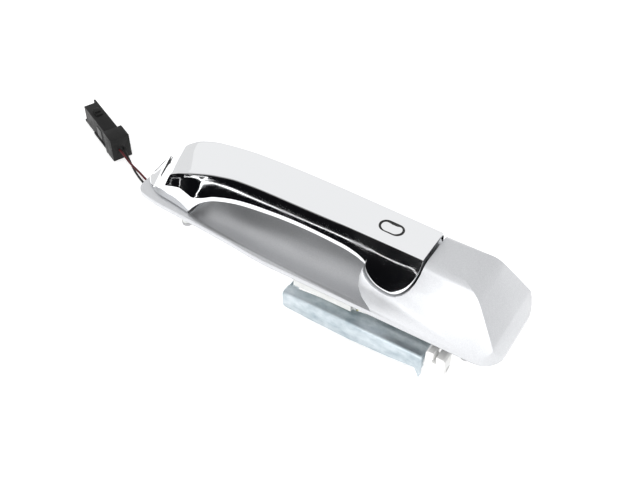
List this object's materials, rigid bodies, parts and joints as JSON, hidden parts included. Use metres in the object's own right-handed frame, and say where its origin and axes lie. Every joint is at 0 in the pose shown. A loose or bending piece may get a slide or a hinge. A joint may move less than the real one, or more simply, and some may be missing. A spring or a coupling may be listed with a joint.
{
  "type": "car door handle",
  "caption": "Strap-type pull handle for a car door: raised housing, plated strap with an entry button, pull lever, rod clip and a wire pigtail with its connector.",
  "frame": {"origin": "on the face that seals against the door skin, midway along the base", "axes": "+X along the handle towards the end housing, +Y towards the back of the finger gap, +Z out of the door"},
  "size_m": [0.4018, 0.1031, 0.0946],
  "materials": {
    "silver_paint": "silver metallic paint on a moulded cover",
    "carrier_grey": "light grey glass-filled moulding",
    "screw_steel": "dark zinc-plated steel",
    "stud_steel": "zinc-plated steel",
    "pin_steel": "ground steel",
    "clip_steel": "spring steel",
    "gasket_rubber": "soft black rubber",
    "bumper_rubber": "soft black rubber",
    "grommet_rubber": "soft black rubber",
    "spring_zinc": "yellow passivated spring wire",
    "wire_black": "smooth black insulation",
    "wire_red": "smooth dark red insulation",
    "connector_black": "fine-grained black moulding",
    "seal_grey": "grey silicone",
    "lock_grey": "dark grey moulding",
    "terminal_brass": "tin-bronze blades",
    "chrome_plate": "bright chrome plating",
    "core_black": "black moulding",
    "lever_zinc": "zinc-plated sheet",
    "bush_nylon": "natural nylon",
    "clip_nylon": "white nylon"
  },
  "bodies": {
    "base": {"base_cover": "silver_paint", "carrier_frame": "carrier_grey", "carrier_screws": "screw_steel", "mounting_studs": "stud_steel", "door_gasket": "gasket_rubber", "rest_bumpers": "bumper_rubber", "handle_pin": "pin_steel", "lever_pin": "pin_steel", "pin_clips": "clip_steel", "lever_spring": "spring_zinc", "wire_grommet": "grommet_rubber", "wire_black": "wire_black", "wire_red": "wire_red", "connector_body": "connector_black", "connector_cap": "connector_black", "connector_seal": "seal_grey", "connector_lock": "lock_grey", "connector_terminals": "terminal_brass"},
    "handle": {"handle_shell": "chrome_plate", "handle_core": "core_black", "handle_screws": "screw_steel", "switch_module": "core_black", "switch_lead": "wire_black", "button_gasket": "gasket_rubber"},
    "button": {"entry_button": "chrome_plate"},
    "lever": {"pull_lever": "lever_zinc", "lever_bushes": "bush_nylon", "rod_clip": "clip_nylon"}
  },
  "joints": [
    {"name": "handle_pull", "type": "hinge", "parent": "base", "child": "handle", "pos_m": [-0.128, 0, -0.009], "axis": [0, -1, 0], "range_deg": [0, 5.5], "stiffness_Nm_per_rad": 15, "springref_deg": -4.58},
    {"name": "lever_turn", "type": "hinge", "parent": "base", "child": "lever", "pos_m": [0.04, -0.009, -0.021], "axis": [1, 0, 0], "range_deg": [0, 38.5], "deforming": ["lever_spring"]},
    {"name": "button_press", "type": "slide", "parent": "handle", "child": "button", "axis": [0, 0, -1], "range_m": [0, 0.0008], "stiffness_N_per_m": 2000, "springref_m": -0.0005}
  ],
  "couplings": [
    {"joint": "lever_turn", "follows": "handle_pull", "ratio": 7}
  ]
}
